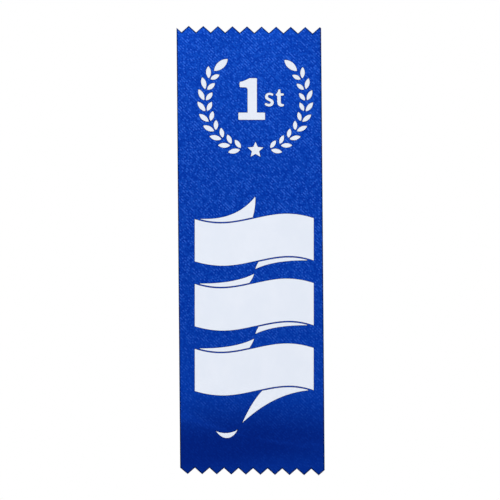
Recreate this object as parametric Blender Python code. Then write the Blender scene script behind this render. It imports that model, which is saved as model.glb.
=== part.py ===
"""First-place award ribbon: one pinked satin strip with a white foil-stamped print.

Metres, +Z up. The strip hangs in the XZ plane and its printed face looks along -Y. The origin is
the pin zone, on the centre line of the back face. Left and right are the viewer's.

The print is laid out from the strip inwards: the wreath fits the strip's width, the banner fills
the length below it, and the lettering fits inside the wreath. Every island of foil is a film of
its own, stamped on the front face.
"""

import math

import bmesh
import bpy
from mathutils import Vector

MM = 0.001

# Satin strip
STRIP_WIDTH = 50.2 * MM
STRIP_LENGTH = 155.7 * MM            # tip to tip, on the centre line
STRIP_THICKNESS = 0.3 * MM
PIN_DEPTH = 12.0 * MM                # from the top tips down to the pin zone

# Pinked ends: two rows of teeth, cut slightly askew to the strip
TOOTH_PITCH = 5.055 * MM
TOOTH_DEPTH = 2.25 * MM
TOP_FIRST_TIP = 4.25 * MM            # from the strip's left side to its first whole tooth
BOTTOM_FIRST_TIP = 2.6 * MM
CUT_SKEW = math.radians(0.96)
SLIVER = 0.1 * MM                    # no tooth turns closer than this to the strip's side

# Foil film
FOIL_THICKNESS = 0.05 * MM
FOIL_SEAT = 0.02 * MM                # clearance between the satin and the film
PRINT_TURN = math.radians(0.46)      # the stamp sits a little clockwise on the strip
PRINT_AXIS = 1.7 * MM                # wreath's axis, right of the strip's centre line

# Wreath: two branches of leaves that rise from the star
WREATH_SIDE = 6.4 * MM               # from a branch to the strip's side, where they are nearest
TOP_BLANK = 9.4 * MM                 # from the top tips to the branches' circle
PAIRS = 9
FIRST_PAIR_ANGLE = math.radians(17.5)
PAIR_STEP = math.radians(12.4)
BRANCH_SPREAD = 1.15 * MM            # how much wider the circle has grown at a branch's tip
PAIR_GAP = 0.5 * MM                  # between the feet of a pair's two leaves
OUTER_LEAN = math.radians(29.0)
INNER_LEAN = math.radians(-36.7)
TIP_LEAN = math.radians(-12.5)
TIP_STEP = 0.8                       # from the last pair to the tip leaf, in pair steps
LEAF_CIRCLE = 17.0 * MM              # radius of the branches' circle that the leaf sizes below suit
OUTER_LEAF = (4.58 * MM, 1.92 * MM)  # length, width
INNER_LEAF = (3.80 * MM, 1.80 * MM)
TIP_LEAF = (6.62 * MM, 2.80 * MM)
RIGHT_BRANCH_SHARE = 0.93            # the right branch's leaves are a little smaller

# Star at the wreath's foot
STAR_RISE = 0.45 * MM                # its centre, above the foot of the branches' circle
STAR_POINTS = 5
STAR_RADIUS = 3.13 * MM
STAR_WAIST = 1.46 * MM

# Lettering, drawn around the wreath's centre and scaled to fit inside the branches
LETTERING_CLEARANCE = 6.2 * MM       # from its furthest corner to the branches' circle
LETTERING_REACH = 10.8 * MM          # its furthest corner as drawn

# Banner: three panels with folds between them
BANNER_GAP = 23.17 * MM              # from the branches' circle down to the top panel
BANNER_LEFT_MARGIN = 5.62 * MM
BANNER_RIGHT_MARGIN = 3.13 * MM
BOTTOM_BLANK = 29.08 * MM            # from the bottom panel down to the bottom tips
WAVE_RISE = 3.4 * MM                 # of a panel edge, from its trough to its crest
LEFT_LIFT = 1.55 * MM                # of a panel edge, from its trough to the left corner
RIGHT_DROP = 1.58 * MM
TROUGH_SHARE = 0.22                  # trough and crest of a panel's top edge, across its width
CREST_SHARE = 0.772
LOWER_EDGE_SHIFT = 0.02              # the lower edge's wave runs a little further right
LINE = 0.32 * MM                     # bare satin line between a panel and a fold
LOWER_FOLD_DROP = 2.8 * MM
UPPER_FOLD_RISE = 3.35 * MM
FOLD_TIP_GAP = 1.3 * MM
CURL_RISE = 7.6 * MM
TAIL_DROP = 10.4 * MM
FOLD_END = 0.35 * MM                 # a fold ends this blunt, near the panel's corner

# Where a fold's blunt end lies in from the panel's corner, and where its flank leaves the panel
# and its tip lies, right of the banner's middle
RIGHT_FOLD = (2.3 * MM, 1.45 * MM, 0.3 * MM)
LEFT_FOLD = (1.75 * MM, -1.6 * MM, 0.05 * MM)
CURL = (2.05 * MM, -0.45 * MM, 0.4 * MM)
TAIL = (2.0 * MM, 2.7 * MM, -4.35 * MM)

# Handles of a fold's two curved edges, as shares of the way from the edge's start to its end
FOLD_FLANK = ((0.45, 0.33), (0.9, 0.66))
FOLD_FREE = ((0.25, 0.73), (0.6, 1.02))
CURL_FLANK = ((0.9, 0.33), (1.35, 0.75))
CURL_FREE = ((0.2, 0.62), (0.5, 1.06))
TAIL_FLANK = ((0.39, 0.25), (0.77, 0.66))
TAIL_FREE = ((0.21, 0.39), (0.54, 0.91))

# Crescent below and left of the tail's tip
TAIL_END_WIDTH = 8.15 * MM
TAIL_END_GAP = 1.1 * MM              # across and down from the tail's tip to its right tip
TAIL_END_DROP = 1.7 * MM
TAIL_END_FALL = 0.55 * MM            # its left tip is this much lower than its right tip
TAIL_END_SAG = 1.15 * MM             # of its upper edge
TAIL_END_BELLY = 3.1 * MM            # of its lower edge

ARC_STEPS = 8
CORNER_STEPS = 5                     # of a curve in the lettering
CRESCENT_STEPS = 12
BOW_HANDLE = 0.28                    # an arc's handles, in from its ends, as a share of its chord
EDGE_STEPS = 28                      # of a panel's whole edge

SATIN_BLUE = (0.006, 0.048, 0.392)
SATIN_ROUGHNESS = 0.45
FOIL_WHITE = (0.79, 0.83, 0.92)
FOIL_ROUGHNESS = 0.55

# Worked out from the sizes above
STRIP_TOP = PIN_DEPTH
STRIP_BOTTOM = STRIP_TOP - STRIP_LENGTH
STRIP_MIDDLE = (STRIP_TOP + STRIP_BOTTOM) / 2
FRONT = -STRIP_THICKNESS

WREATH_RADIUS = STRIP_WIDTH / 2 - PRINT_AXIS - WREATH_SIDE
WREATH_CENTRE = Vector((PRINT_AXIS, STRIP_LENGTH / 2 - TOP_BLANK - WREATH_RADIUS))
WREATH_FOOT = WREATH_CENTRE.y - WREATH_RADIUS
LEAF_SCALE = WREATH_RADIUS / LEAF_CIRCLE
LETTERING_SCALE = (WREATH_RADIUS - LETTERING_CLEARANCE) / LETTERING_REACH

BANNER_LEFT = BANNER_LEFT_MARGIN - STRIP_WIDTH / 2
BANNER_RIGHT = STRIP_WIDTH / 2 - BANNER_RIGHT_MARGIN
BANNER_WIDTH = BANNER_RIGHT - BANNER_LEFT
BANNER_MIDDLE = (BANNER_LEFT + BANNER_RIGHT) / 2
BANNER_TOP = WREATH_FOOT - BANNER_GAP
BANNER_BOTTOM = BOTTOM_BLANK - STRIP_LENGTH / 2
FOLD_BAND = LOWER_FOLD_DROP + FOLD_TIP_GAP + UPPER_FOLD_RISE
PANEL_NAMES = ("top", "middle", "bottom")
PANELS = len(PANEL_NAMES)
PANEL_HEIGHT = (BANNER_TOP - BANNER_BOTTOM - FOLD_BAND * (PANELS - 1)) / PANELS
PANEL_PITCH = PANEL_HEIGHT + FOLD_BAND


# Outlines. A point is (x, z), right and up, as seen from the front.

def lerp(a, b, share):
    return a + (b - a) * share


def curve(start, handle_a, handle_b, end, steps=ARC_STEPS):
    """Points of a Bezier curve after its start, to its end."""
    points = []
    for step in range(1, steps + 1):
        t = step / steps
        s = 1 - t
        points.append(start * s**3 + handle_a * (3 * s * s * t) + handle_b * (3 * s * t * t)
                      + end * t**3)
    return points


def bow(start, end, rise, steps=ARC_STEPS):
    """Points of a shallow arc after its start, standing rise to the left of the chord."""
    chord = end - start
    side = Vector((-chord.y, chord.x)).normalized() * rise * 4 / 3
    handle_a = start + chord * BOW_HANDLE + side
    handle_b = end - chord * BOW_HANDLE + side
    return curve(start, handle_a, handle_b, end, steps)


def drawn(start, *strokes):
    """An outline drawn stroke by stroke back to its start.

    A stroke is an end point, or two handles and an end point.
    """
    points = [Vector(start)]
    for stroke in strokes:
        if len(stroke) == 2:
            points.append(Vector(stroke))
        else:
            handle_a, handle_b, end = (Vector(point) for point in stroke)
            points += curve(points[-1], handle_a, handle_b, end, CORNER_STEPS)
    return points[:-1]


def leaf_outline(foot, heading, length, width):
    """A leaf pointed at both ends."""
    tip = foot + Vector((math.cos(heading), math.sin(heading))) * length
    return [foot] + bow(foot, tip, -width / 2) + bow(tip, foot, -width / 2)[:-1]


def star_outline(centre):
    points = []
    for corner in range(2 * STAR_POINTS):
        radius = STAR_WAIST if corner % 2 else STAR_RADIUS
        angle = math.pi / 2 + corner * math.pi / STAR_POINTS
        points.append(centre + Vector((math.cos(angle), math.sin(angle))) * radius)
    return points


def teeth(first_tip, level, direction):
    """One pinked end from left to right. direction is 1 when the tips point up."""
    half = TOOTH_PITCH / 2
    last = int(STRIP_WIDTH / half) + 1
    turns = [first_tip + half * step for step in range(-2, last)]
    turns = [u for u in turns if SLIVER < u < STRIP_WIDTH - SLIVER]
    points = []
    for u in [0.0] + turns + [STRIP_WIDTH]:
        tips_away = abs((u - first_tip) / half) % 2
        depth = TOOTH_DEPTH * min(tips_away, 2 - tips_away)
        x = u - STRIP_WIDTH / 2
        points.append(Vector((x, level - direction * depth - x * math.tan(CUT_SKEW))))
    return points


def strip_outline():
    top = teeth(TOP_FIRST_TIP, STRIP_TOP, 1)
    bottom = teeth(BOTTOM_FIRST_TIP, STRIP_BOTTOM, -1)
    return top + bottom[::-1]


def wave(x, shift):
    """Height of a panel edge at x, from its height at the banner's middle."""

    def raw(place):
        u = (place - BANNER_LEFT) / BANNER_WIDTH
        trough = TROUGH_SHARE + shift
        crest = CREST_SHARE + shift
        if u < trough:
            return LEFT_LIFT * (1 - u / trough) ** 2
        if u > crest:
            return WAVE_RISE - RIGHT_DROP * ((u - crest) / (1 - crest)) ** 2
        t = (u - trough) / (crest - trough)
        return WAVE_RISE * t * t * (3 - 2 * t)

    return raw(x) - raw(BANNER_MIDDLE)


def upper_edge(x, panel):
    return BANNER_TOP - PANEL_PITCH * panel + wave(x, 0.0)


def lower_edge(x, panel):
    return BANNER_TOP - PANEL_PITCH * panel - PANEL_HEIGHT + wave(x, LOWER_EDGE_SHIFT)


def along(edge, panel, start, end, offset=0.0):
    """Points on a panel's edge, offset up from it, from x = start to x = end."""
    steps = max(4, round(EDGE_STEPS * abs(end - start) / BANNER_WIDTH))
    places = [lerp(start, end, step / steps) for step in range(steps + 1)]
    return [Vector((x, edge(x, panel) + offset)) for x in places]


def panel_outline(panel):
    upper = along(upper_edge, panel, BANNER_LEFT, BANNER_RIGHT)
    lower = along(lower_edge, panel, BANNER_RIGHT, BANNER_LEFT)
    return upper + lower


def fold_outline(panel, side, place, reach, flank_handles, free_handles):
    """A fold that shows beyond a panel's upper edge (side 1) or lower edge (side -1).

    It follows the panel's edge from its blunt end to its root. Its flank runs from there to the
    tip, which stands reach beyond the panel, and its free edge runs back to the blunt end.
    """
    inset, root, tip = place
    edge = upper_edge if side > 0 else lower_edge
    far = BANNER_MIDDLE + side * (inset - BANNER_WIDTH / 2)
    held = along(edge, panel, far, BANNER_MIDDLE + root, side * LINE)
    tip_x = BANNER_MIDDLE + tip
    point = Vector((tip_x, edge(tip_x, panel) + side * reach))
    end = held[0] + Vector((0, side * FOLD_END))

    def edge_to(start, finish, shares, steps):
        handles = (Vector((lerp(start.x, finish.x, share_x), lerp(start.y, finish.y, share_y)))
                   for share_x, share_y in shares)
        return curve(start, *handles, finish, steps)

    flank = edge_to(held[-1], point, flank_handles, ARC_STEPS)
    return held + flank + edge_to(point, end, free_handles, 2 * ARC_STEPS)


def tail_end_outline():
    """The crescent where the banner's tail turns out of sight behind its tip."""
    tip_x = BANNER_MIDDLE + TAIL[2]
    tip_z = lower_edge(tip_x, PANELS - 1) - TAIL_DROP
    right = Vector((tip_x - TAIL_END_GAP, tip_z - TAIL_END_DROP))
    left = right - Vector((TAIL_END_WIDTH, TAIL_END_FALL))
    upper = bow(left, right, -TAIL_END_SAG, CRESCENT_STEPS)
    lower = bow(right, left, TAIL_END_BELLY, CRESCENT_STEPS)
    return [left] + upper + lower[:-1]


# Solids

def material(name, colour, roughness):
    made = bpy.data.materials.new(name)
    made.use_nodes = True
    shader = made.node_tree.nodes["Principled BSDF"]
    shader.inputs["Base Color"].default_value = (*colour, 1)
    shader.inputs["Roughness"].default_value = roughness
    shader.inputs["Metallic"].default_value = 0.0
    return made


def plate(name, outline, back, thickness, finish, parent=None):
    """A flat closed solid whose back lies at y = back and whose front faces -Y."""
    turning = sum(a.x * b.y - b.x * a.y for a, b in zip(outline, outline[1:] + outline[:1]))
    if turning < 0:
        outline = outline[::-1]
    form = bmesh.new()
    rims = [[form.verts.new((p.x, y, p.y)) for p in outline] for y in (back - thickness, back)]
    form.faces.new(rims[0])
    form.faces.new(rims[1][::-1])
    for index in range(len(outline)):
        after = (index + 1) % len(outline)
        form.faces.new((rims[0][after], rims[0][index], rims[1][index], rims[1][after]))
    mesh = bpy.data.meshes.new(name)
    form.to_mesh(mesh)
    form.free()
    mesh.materials.append(finish)
    solid = bpy.data.objects.new(name, mesh)
    bpy.context.collection.objects.link(solid)
    solid.parent = parent
    return solid


def build_strip():
    satin = material("satin_blue", SATIN_BLUE, SATIN_ROUGHNESS)
    plate("ribbon_strip", strip_outline(), 0.0, STRIP_THICKNESS, satin)


def build_print():
    foil = material("foil_white", FOIL_WHITE, FOIL_ROUGHNESS)
    stamp = bpy.data.objects.new("print_origin", None)
    bpy.context.collection.objects.link(stamp)
    stamp.location = (0, FRONT - FOIL_SEAT, STRIP_MIDDLE)
    stamp.rotation_euler = (0, PRINT_TURN, 0)

    def film(name, outline):
        plate(name, outline, 0.0, FOIL_THICKNESS, foil, stamp)

    build_lettering(film)
    film("star", star_outline(Vector((PRINT_AXIS, WREATH_FOOT + STAR_RISE))))
    build_branch(film, "left", -1, 1.0)
    build_branch(film, "right", 1, RIGHT_BRANCH_SHARE)
    build_banner(film)


def build_lettering(film):
    """A bold slab figure 1 with a small plain st beside its foot, in mm from the wreath's centre."""
    one = drawn(
        (-2.86, -3.45), (-2.86, 4.1), ((-2.86, 4.75), (-3.0, 5.05), (-3.55, 5.1)), (-5.1, 5.12),
        ((-5.5, 5.12), (-5.65, 5.3), (-5.65, 5.65)), (-5.65, 6.6),
        ((-5.65, 6.95), (-5.5, 7.12), (-5.2, 7.22)), ((-3.9, 7.5), (-3.0, 8.1), (-2.0, 8.5)),
        (0.2, 8.5), ((0.5, 8.5), (0.57, 8.35), (0.57, 8.0)), (0.57, -3.45), (3.0, -3.45),
        ((3.3, -3.45), (3.4, -3.6), (3.4, -3.85)), (3.4, -5.8),
        ((3.4, -6.05), (3.3, -6.17), (3.0, -6.17)), (-5.65, -6.17),
        ((-5.95, -6.17), (-6.05, -6.05), (-6.05, -5.8)), (-6.05, -3.85),
        ((-6.05, -3.6), (-5.95, -3.45), (-5.65, -3.45)), (-2.86, -3.45),
    )
    letter_s = drawn(
        (6.27, 2.95), ((5.8, 3.3), (5.3, 3.42), (4.85, 3.42)),
        ((3.9, 3.42), (3.17, 2.85), (3.17, 1.95)), ((3.17, 1.1), (3.75, 0.8), (4.35, 0.5)),
        ((4.8, 0.27), (5.15, 0.1), (5.15, -0.15)), ((5.15, -0.35), (4.85, -0.45), (4.55, -0.43)),
        ((4.2, -0.42), (3.9, -0.25), (3.6, -0.05)), ((3.35, -0.2), (3.1, -0.45), (3.02, -0.75)),
        ((3.5, -1.3), (4.1, -1.55), (4.7, -1.54)), ((5.75, -1.54), (6.42, -0.95), (6.42, -0.05)),
        ((6.42, 0.85), (5.75, 1.1), (5.1, 1.42)), ((4.6, 1.65), (4.35, 1.85), (4.36, 2.12)),
        ((4.38, 2.35), (4.65, 2.5), (4.95, 2.46)), ((5.25, 2.43), (5.5, 2.3), (5.75, 2.12)),
        ((6.05, 2.25), (6.3, 2.55), (6.27, 2.95)),
    )
    letter_t = drawn(
        (7.42, 2.1), ((7.2, 2.3), (6.95, 2.4), (6.78, 2.66)), ((7.3, 3.1), (7.6, 3.6), (7.8, 4.35)),
        ((7.95, 4.7), (8.55, 4.75), (8.7, 4.4)), (8.8, 3.25), (9.6, 3.22),
        ((10.05, 3.15), (10.05, 2.4), (9.6, 2.27)), (8.86, 2.2), (8.86, 0.1),
        ((8.86, -0.4), (9.2, -0.55), (9.75, -0.5)), ((10.0, -0.7), (10.0, -1.0), (9.8, -1.35)),
        ((8.9, -1.95), (7.42, -1.5), (7.42, 0.1)), (7.42, 2.1),
    )
    for name, drawing in (("numeral_one", one), ("letter_s", letter_s), ("letter_t", letter_t)):
        film(name, [WREATH_CENTRE + point * MM * LETTERING_SCALE for point in drawing])


def build_branch(film, name, side, share):
    """One branch of the wreath: pairs of leaves from its foot up, and a single leaf at its tip."""

    def station(index):
        """A place on the branch, the way the branch runs there, and the way out of the wreath."""
        angle = FIRST_PAIR_ANGLE + PAIR_STEP * index
        radius = WREATH_RADIUS + BRANCH_SPREAD * (index / PAIRS) ** 2
        away = Vector((side * math.sin(angle), -math.cos(angle)))
        heading = math.pi / 2 - side * (math.pi / 2 - angle)
        return WREATH_CENTRE + away * radius, heading, away

    def leaf(leaf_name, foot, heading, lean, size):
        length, width = (measure * share * LEAF_SCALE for measure in size)
        film(leaf_name, leaf_outline(foot, heading - side * lean, length, width))

    for index in range(PAIRS):
        place, heading, away = station(index)
        apart = away * PAIR_GAP / 2
        leaf(f"{name}_outer_leaf_{index + 1}", place + apart, heading, OUTER_LEAN, OUTER_LEAF)
        leaf(f"{name}_inner_leaf_{index + 1}", place - apart, heading, INNER_LEAN, INNER_LEAF)
    place, heading, away = station(PAIRS - 1 + TIP_STEP)
    leaf(f"{name}_leaf_tip", place, heading, TIP_LEAN, TIP_LEAF)


def build_banner(film):
    """Panels from top to bottom, the folds between them, the curl above and the tail below."""
    for index, name in enumerate(PANEL_NAMES):
        film(f"banner_panel_{name}", panel_outline(index))
    for index, name in enumerate(("upper", "lower")):
        film(f"{name}_fold_right",
             fold_outline(index, -1, RIGHT_FOLD, LOWER_FOLD_DROP, FOLD_FLANK, FOLD_FREE))
        film(f"{name}_fold_left",
             fold_outline(index + 1, 1, LEFT_FOLD, UPPER_FOLD_RISE, FOLD_FLANK, FOLD_FREE))
    film("banner_curl", fold_outline(0, 1, CURL, CURL_RISE, CURL_FLANK, CURL_FREE))
    film("banner_tail", fold_outline(PANELS - 1, -1, TAIL, TAIL_DROP, TAIL_FLANK, TAIL_FREE))
    film("banner_tail_end", tail_end_outline())


def main():
    for existing in list(bpy.data.objects):
        bpy.data.objects.remove(existing, do_unlink=True)
    build_strip()
    build_print()


main()
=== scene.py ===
"""Looks of the first-place award ribbon: bowed satin, pinked ends and stamped foil.

Metres, +Z up, in the CAD's frame. The printed face looks along -Y.
"""

import math

import bmesh
import bpy
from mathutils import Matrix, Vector


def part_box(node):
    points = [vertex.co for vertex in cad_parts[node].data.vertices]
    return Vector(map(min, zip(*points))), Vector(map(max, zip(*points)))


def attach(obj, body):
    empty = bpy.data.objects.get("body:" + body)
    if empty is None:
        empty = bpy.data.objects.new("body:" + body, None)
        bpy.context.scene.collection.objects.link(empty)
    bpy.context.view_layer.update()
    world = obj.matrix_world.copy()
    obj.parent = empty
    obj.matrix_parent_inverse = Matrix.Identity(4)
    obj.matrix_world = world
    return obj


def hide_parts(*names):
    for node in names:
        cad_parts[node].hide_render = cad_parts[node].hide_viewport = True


MM = 0.001

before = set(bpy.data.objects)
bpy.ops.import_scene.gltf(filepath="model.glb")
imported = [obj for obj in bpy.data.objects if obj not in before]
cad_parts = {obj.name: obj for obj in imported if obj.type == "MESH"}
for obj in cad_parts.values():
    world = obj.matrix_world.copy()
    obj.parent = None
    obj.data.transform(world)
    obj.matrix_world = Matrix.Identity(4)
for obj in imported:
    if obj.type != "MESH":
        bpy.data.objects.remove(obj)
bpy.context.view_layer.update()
STRIP_LOW, STRIP_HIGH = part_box("ribbon_strip")
STRIP_WIDTH = STRIP_HIGH.x - STRIP_LOW.x
STRIP_LENGTH = STRIP_HIGH.z - STRIP_LOW.z
STRIP_MIDDLE = (STRIP_HIGH.z + STRIP_LOW.z) / 2
STRIP_FACE = STRIP_LOW.y

# How the satin hangs from its pin zone
BOW = 1.6 * MM                       # its middle stands forward of its ends by this
BOTTOM_CURL = 2.4 * MM               # its lower end turns back by this much more
CURL_START = 0.6                     # how far down the strip the curl starts, as a share of its length
CUP = 0.30 * MM                      # its sides stand back from its centre line
TWIST = 1.5 * MM                     # one side is this far in front of the other at the ends
EDGE_RIPPLE = 0.12 * MM              # of the cut ends
RIPPLE_DEPTH = 14.0 * MM             # how far in from a cut end its ripple dies out
RIPPLES = ((STRIP_HIGH.z, 1.6, 0.4), (STRIP_LOW.z, 2.1, 1.9))  # end, waves across it, phase

# Strip mesh
STRIP_CELL = 1.3 * MM
EDGE_BAND = 0.40 * MM                # sunk a little and coloured darker, all round the cut strip
EDGE_SINK = 0.05 * MM

# Foil mesh
FOIL_CELL = 1.6 * MM
FOIL_BEVEL = 0.12 * MM               # a near-black rim round each foil piece: painted shadow along its edge
FOIL_SINK = 0.02 * MM


# Shape

def hang(x, z):
    """How far the satin stands behind its flat place, +Y, at (x, z)."""
    down = (STRIP_HIGH.z - z) / STRIP_LENGTH
    across = 2 * x / STRIP_WIDTH
    bow = 4 * down * (1 - down)
    curl = max(0.0, (down - CURL_START) / (1 - CURL_START)) ** 2
    ripple = 0.0
    for end, waves, phase in RIPPLES:
        near = max(0.0, 1 - abs(z - end) / RIPPLE_DEPTH) ** 2
        ripple += near * math.sin(math.pi * waves * across + phase)
    twist = (0.5 - down) * across
    return -BOW * bow + BOTTOM_CURL * curl + CUP * across * across + TWIST * twist + EDGE_RIPPLE * ripple


PIN_Y = hang(0.0, 0.0)


def hung(point):
    return Vector((point.x, point.y + hang(point.x, point.z) - PIN_Y, point.z))


def cut_by_grid(form, cell):
    """Cuts every face along an even grid of vertical and level planes."""
    for axis in (0, 2):
        places = [v.co[axis] for v in form.verts]
        low, high = min(places), max(places)
        count = max(1, round((high - low) / cell))
        normal = Vector((1, 0, 0)) if axis == 0 else Vector((0, 0, 1))
        for step in range(1, count):
            where = normal * (low + (high - low) * step / count)
            parts = form.verts[:] + form.edges[:] + form.faces[:]
            bmesh.ops.bisect_plane(form, geom=parts, plane_co=where, plane_no=normal, dist=1e-7)


def soften(form, width, sink, mark):
    """Turns a rim as wide as width round both faces of a plate towards its middle layer."""
    for side in (-1, 1):
        caps = [f for f in form.faces if f.normal.y * side > 0.9]
        done = bmesh.ops.inset_region(form, faces=caps, thickness=width, use_even_offset=True)
        for face in done["faces"]:
            face.material_index = mark
        rim = {v for face in done["faces"] for v in face.verts}
        inner = {v for face in caps for v in face.verts}
        for vert in rim - inner:
            vert.co.y -= side * sink


def hung_copy(name, node, cell, width, sink, mark):
    """A CAD plate's twin, with a soft rim, cut fine and hung with the satin."""
    form = bmesh.new()
    form.from_mesh(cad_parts[node].data)
    bmesh.ops.remove_doubles(form, verts=form.verts[:], dist=1e-7)
    bmesh.ops.dissolve_limit(form, angle_limit=math.radians(1.0), verts=form.verts[:], edges=form.edges[:])
    for face in form.faces:
        face.material_index = mark if abs(face.normal.y) < 0.5 else 0
    soften(form, width, sink, mark)
    cut_by_grid(form, cell)
    for vert in form.verts:
        vert.co = hung(vert.co)
    bmesh.ops.triangulate(form, faces=[f for f in form.faces if len(f.verts) > 4])
    for face in form.faces:
        face.smooth = True
    flat = form.loops.layers.uv.new("flat")
    for face in form.faces:
        for loop in face.loops:
            loop[flat].uv = (loop.vert.co.x / STRIP_LENGTH, loop.vert.co.z / STRIP_LENGTH)
    mesh = bpy.data.meshes.new(name)
    form.to_mesh(mesh)
    form.free()
    piece = bpy.data.objects.new(name, mesh)
    bpy.context.scene.collection.objects.link(piece)
    mesh.set_sharp_from_angle(angle=math.radians(35))
    return piece


# Materials

# Weave
LAYER = 1.0                          # of cells, far thicker than the ribbon
FLOAT_TURN = math.radians(45)
FLOAT_LENGTH = 0.56 * MM
FLOAT_WIDTH = 0.40 * MM
ROW_SHARE = 0.24                     # of the weave's brightness that comes from raised and sunk rows
DARK_BELOW, LIGHT_ABOVE = 0.30, 0.70    # the weave's brightness where its shade is dark and light
# where the painted glint starts and is full, in the weave's brightness
GLINT_START, GLINT_FULL = 0.72, 0.92
SHADED_FOOT_CONTRAST, LIT_TOP_CONTRAST = 0.25, 1.65    # between the shades, at the strip's foot and top: painted sheen, the weave stands out more towards the lit top
WEAVE_BUMP = {"Strength": 0.25, "Distance": 0.03 * MM}

# Satin: its shades are (dark, middle, light, glint), from the sunk floats to the ones that shine; the glint
# shade is a painted glint on the brightest floats
SATIN_SHADES = ((0.0, 0.0225, 0.320), (0.0010, 0.0375, 0.380), (0.0034, 0.050, 0.422), (0.019, 0.09, 0.54))
EDGE_SHADES = ((0.0, 0.006, 0.07), (0.0015, 0.015, 0.12), (0.003, 0.024, 0.18), (0.01, 0.05, 0.3))
BACK_SHADES = ((0.0, 0.020, 0.24), (0.0015, 0.033, 0.31), (0.003, 0.043, 0.345), (0.006, 0.05, 0.38))
# the foil's rim: near-black blue, a painted shadow round the foil
RIM_SHADOW_SHADES = ((0.0, 0.003, 0.02), (0.001, 0.007, 0.045), (0.002, 0.012, 0.07), (0.004, 0.02, 0.11))
SHEEN_TINT = (0.07, 0.48, 1.0)

# Painted shade: the blue darkens towards the strip's foot
FOOT_SHADE_START = STRIP_LOW.z + 34.0 * MM  # the painted shade grows from here down to the end below
FOOT_SHADE_END = STRIP_LOW.z + 12.0 * MM
FOOT_SHADE_DROP = 2.2 * MM                 # the painted shade lies this much lower down at the sides
# the painted shade's tint, multiplied into the satin's colour
FOOT_SHADE_TINT = (0.15, 0.29, 0.535)
FOOT_LIGHT_HEIGHT = 9.5 * MM              # painted light: the last stretch is a little lighter again
FOOT_LIGHT_SHARE = 0.40                   # of the painted shade that is gone at its very end
FOOT_LIGHT_SLANT = -0.14                  # it starts higher up on the right, by this much a metre across

# Foil
FOIL_SHADES = ((0.775, 0.825, 0.925), (0.80, 0.845, 0.94))
CLOUD_SIZE = (6.0 * MM, 9.0 * MM)    # of the patches where its white shifts a little
GRAIN_SIZE = (0.35 * MM, 0.35 * MM)
GRAIN_BUMP = {"Strength": 0.12, "Distance": 0.02 * MM}


class Nodes:
    """A material's shader nodes, made and joined by name."""

    def __init__(self, name):
        self.material = bpy.data.materials.new(name)
        self.material.use_nodes = True
        self.tree = self.material.node_tree
        self.shader = self.tree.nodes["Principled BSDF"]

    def feed(self, socket, value):
        """Joins a socket to another node's output, or gives it a constant. A colour gets full alpha."""
        if isinstance(value, bpy.types.NodeSocket):
            self.tree.links.new(value, socket)
        elif socket.type == "RGBA":
            socket.default_value = (*value, 1)
        else:
            socket.default_value = value

    def add(self, kind, values=None, **settings):
        node = self.tree.nodes.new(kind)
        for key, value in settings.items():
            setattr(node, key, value)
        for key, value in (values or {}).items():
            self.feed(node.inputs[key], value)
        return node

    def math(self, operation, a, b):
        return self.add("ShaderNodeMath", {0: a, 1: b}, operation=operation).outputs[0]

    def mix(self, share, a, b, blend="MIX"):
        values = {0: share, 6: a, 7: b}
        return self.add("ShaderNodeMix", values, data_type="RGBA", blend_type=blend).outputs[2]

    def place(self):
        return self.add("ShaderNodeTexCoord").outputs["Object"]

    def laid(self, place, turn, length, width):
        """Places counted in cells of the strip's plane, turned clockwise. Both faces lie in one layer."""
        values = {"Vector": place, "Location": (0, LAYER / 2, 0), "Rotation": (0, turn, 0),
                  "Scale": (length, LAYER, width)}
        return self.add("ShaderNodeMapping", values, vector_type="TEXTURE").outputs[0]

    def noise(self, place, detail):
        values = {"Vector": place, "Scale": 1.0, "Detail": detail}
        return self.add("ShaderNodeTexNoise", values).outputs["Fac"]

    def range(self, value, low, high, to_low=0.0, to_high=1.0, smooth=False):
        values = {0: value, 1: low, 2: high, 3: to_low, 4: to_high}
        kind = "SMOOTHSTEP" if smooth else "LINEAR"
        return self.add("ShaderNodeMapRange", values, interpolation_type=kind).outputs[0]

    def bump(self, height, strength):
        return self.add("ShaderNodeBump", {**strength, "Height": height}).outputs[0]

    def finish(self, **values):
        for key, value in values.items():
            self.feed(self.shader.inputs[key.replace("_", " ")], value)
        return self.material


def satin_weave(made):
    """Brightness of the woven surface, 0 to 1: short slanted floats, each catching the light in its own way,
    in rows that lie by turns higher and lower."""
    laid = made.laid(made.place(), FLOAT_TURN, FLOAT_LENGTH, FLOAT_WIDTH)
    cell = made.add("ShaderNodeVectorMath", {0: laid}, operation="FLOOR").outputs[0]
    shine = made.add("ShaderNodeTexWhiteNoise", {"Vector": cell}, noise_dimensions="3D").outputs["Value"]
    row = made.add("ShaderNodeSeparateXYZ", {0: cell}).outputs["Z"]
    raised = made.math("FLOORED_MODULO", row, 2.0)
    shone = made.math("MULTIPLY", shine, 1 - ROW_SHARE)
    return made.math("ADD", shone, made.math("MULTIPLY", raised, ROW_SHARE))


def painted_foot_shade(made, across, height):
    """How much painted shade darkens the blue near the foot, 0 to 1, less the painted light at its very end.
    """
    side = made.math("POWER", made.math("MULTIPLY", across, 2 / STRIP_WIDTH), 2.0)
    level = made.math("ADD", height, made.math("MULTIPLY", side, FOOT_SHADE_DROP))
    shade_share = made.range(level, FOOT_SHADE_START, FOOT_SHADE_END, smooth=True)
    slant = made.math("ADD", height, made.math("MULTIPLY", across, FOOT_LIGHT_SLANT))
    shade_left = made.range(slant, STRIP_LOW.z, STRIP_LOW.z + FOOT_LIGHT_HEIGHT, 1 - FOOT_LIGHT_SHARE, 1.0, smooth=True)
    return made.math("MULTIPLY", shade_share, shade_left)


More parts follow.
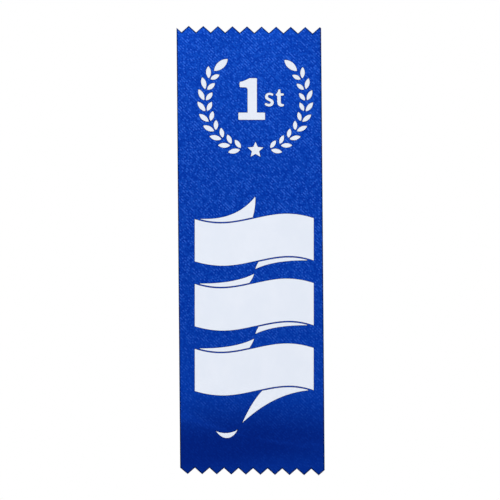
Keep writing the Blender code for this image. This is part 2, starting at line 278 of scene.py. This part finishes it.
def make_satin(name, shades, roughness, metallic=0.3, paint_foot_shade=True):
    made = Nodes(name)
    dark, middle, light, glint = shades
    weave = satin_weave(made)
    place = made.add("ShaderNodeSeparateXYZ", {0: made.place()})
    across, height = place.outputs["X"], place.outputs["Z"]
    colour = made.mix(made.range(weave, DARK_BELOW, LIGHT_ABOVE), dark, light)
    # painted glint: the brightest floats take the whiter glint shade
    colour = made.mix(made.range(weave, GLINT_START, GLINT_FULL), colour, glint)
    # painted sheen: the weave's shades and glints grow stronger from the foot to the lit top
    painted_sheen_contrast = made.range(height, STRIP_LOW.z, STRIP_HIGH.z, SHADED_FOOT_CONTRAST, LIT_TOP_CONTRAST)
    colour = made.mix(painted_sheen_contrast, middle, colour)
    # painted shade: the satin darkens towards its foot
    if paint_foot_shade:
        colour = made.mix(painted_foot_shade(made, across, height), colour, FOOT_SHADE_TINT, "MULTIPLY")
    return made.finish(Base_Color=colour, Normal=made.bump(weave, WEAVE_BUMP), Roughness=roughness,
                       Metallic=metallic, Specular_IOR_Level=0.3, Specular_Tint=SHEEN_TINT, Anisotropic=0.6)


def make_foil():
    made = Nodes("foil_white")
    place = made.place()
    cloud = made.noise(made.laid(place, 0.0, *CLOUD_SIZE), 2.0)
    grain = made.noise(made.laid(place, 0.0, *GRAIN_SIZE), 1.0)
    colour = made.mix(made.range(cloud, 0.35, 0.65), *FOIL_SHADES)
    return made.finish(Base_Color=colour, Normal=made.bump(grain, GRAIN_BUMP), Roughness=0.55,
                       Specular_IOR_Level=0.2)


# Pieces

satin = make_satin("satin_blue", SATIN_SHADES, 0.40)
satin_edge = make_satin("satin_cut_edge", EDGE_SHADES, 0.60)
satin_back = make_satin("satin_dull_back", BACK_SHADES, 0.62, metallic=0.1, paint_foot_shade=False)
foil = make_foil()
# painted shadow: a near-black rim round every foil piece
foil_shadow_rim = make_satin("foil_rim_painted_shadow", RIM_SHADOW_SHADES, 0.60)

ribbon = hung_copy("satin_strip", "ribbon_strip", STRIP_CELL, EDGE_BAND, EDGE_SINK, 1)
for material in (satin, satin_edge, satin_back):
    ribbon.data.materials.append(material)
for face in ribbon.data.polygons:
    if face.material_index == 0 and face.normal.y > 0.5:
        face.material_index = 2      # the back
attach(ribbon, "root")
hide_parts("ribbon_strip")

for node in sorted(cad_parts):
    if node == "ribbon_strip":
        continue
    film = hung_copy(f"foil_{node}", node, FOIL_CELL, FOIL_BEVEL, FOIL_SINK, 1)
    film.data.materials.append(foil)
    film.data.materials.append(foil_shadow_rim)
    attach(film, "root")
    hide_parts(node)


# Studio

MIDDLE = Vector((0, STRIP_FACE, STRIP_MIDDLE))


def area_light(name, place, size, power):
    """A soft lamp, in metres and watts, that points at the ribbon's middle."""
    lamp = bpy.data.lights.new(name, "AREA")
    lamp.shape = "RECTANGLE"
    lamp.size, lamp.size_y = size
    lamp.energy = power
    light = bpy.data.objects.new(name, lamp)
    light.location = place
    light.rotation_euler = (MIDDLE - Vector(place)).to_track_quat("-Z", "Y").to_euler()
    bpy.context.scene.collection.objects.link(light)


area_light("key", (-0.24, -1.5, 0.50), (1.0, 0.7), 14.4)
area_light("back", (-0.3, 1.3, 0.5), (1.0, 0.8), 20.0)

# World: white to the camera, and a dimmer white to everything it lights
SURROUND_STRENGTH = 0.35
world = bpy.data.worlds.new("studio")
bpy.context.scene.world = world
world.use_nodes = True
links = world.node_tree.links
surround = world.node_tree.nodes["Background"]
surround.inputs["Color"].default_value = (1, 1, 1, 1)
surround.inputs["Strength"].default_value = SURROUND_STRENGTH
shown = world.node_tree.nodes.new("ShaderNodeBackground")
shown.inputs["Color"].default_value = (1, 1, 1, 1)
either = world.node_tree.nodes.new("ShaderNodeMixShader")
path = world.node_tree.nodes.new("ShaderNodeLightPath")
links.new(path.outputs["Is Camera Ray"], either.inputs[0])
links.new(surround.outputs[0], either.inputs[1])
links.new(shown.outputs[0], either.inputs[2])
links.new(either.outputs[0], world.node_tree.nodes["World Output"].inputs[0])

# Floor: a pale round that fades into the white surround
FLOOR_DROP = 30.0 * MM               # below the lowest tips
FLOOR_RADIUS = 0.9
FADE_START, FADE_END = 0.30, 0.50    # from its middle
floor_mesh = bpy.data.meshes.new("floor")
form = bmesh.new()
bmesh.ops.create_circle(form, cap_ends=True, segments=96, radius=FLOOR_RADIUS)
form.to_mesh(floor_mesh)
form.free()
floor = bpy.data.objects.new("floor", floor_mesh)
floor.location = (0, 0, STRIP_LOW.z - FLOOR_DROP)
bpy.context.scene.collection.objects.link(floor)
paper = Nodes("floor_paper")
spot = paper.place()
reach = paper.add("ShaderNodeVectorMath", {0: spot}, operation="LENGTH").outputs["Value"]
fade = paper.range(reach, FADE_START, FADE_END, smooth=True)
glow = paper.add("ShaderNodeEmission", {"Color": (1, 1, 1), "Strength": 1.0})
blend = paper.add("ShaderNodeMixShader", {0: fade, 1: paper.shader.outputs[0], 2: glow.outputs[0]})
paper.tree.links.new(blend.outputs[0], paper.tree.nodes["Material Output"].inputs[0])
floor_mesh.materials.append(paper.finish(Base_Color=(0.82, 0.82, 0.81), Roughness=0.8))

# Camera: level, straight in front, from far away
FRAME_HEIGHT = 173.43 * MM           # seen at the ribbon
LENS = 400.0
SENSOR = 36.0
ROLL = math.radians(0.46)
SHIFT_SIDE = -0.22 * MM              # of the camera, from straight in front of the ribbon's middle
SHIFT_UP = 0.26 * MM
CLIP_END = 20.0
distance = FRAME_HEIGHT * LENS / SENSOR
lens = bpy.data.cameras.new("camera")
lens.lens = LENS
lens.sensor_width = SENSOR
lens.clip_end = CLIP_END
camera = bpy.data.objects.new("camera", lens)
camera.location = (SHIFT_SIDE, STRIP_FACE - distance, STRIP_MIDDLE + SHIFT_UP)
camera.rotation_euler = (math.pi / 2, ROLL, 0)
bpy.context.scene.collection.objects.link(camera)
bpy.context.scene.camera = camera
bpy.context.scene.view_settings.view_transform = "Standard"
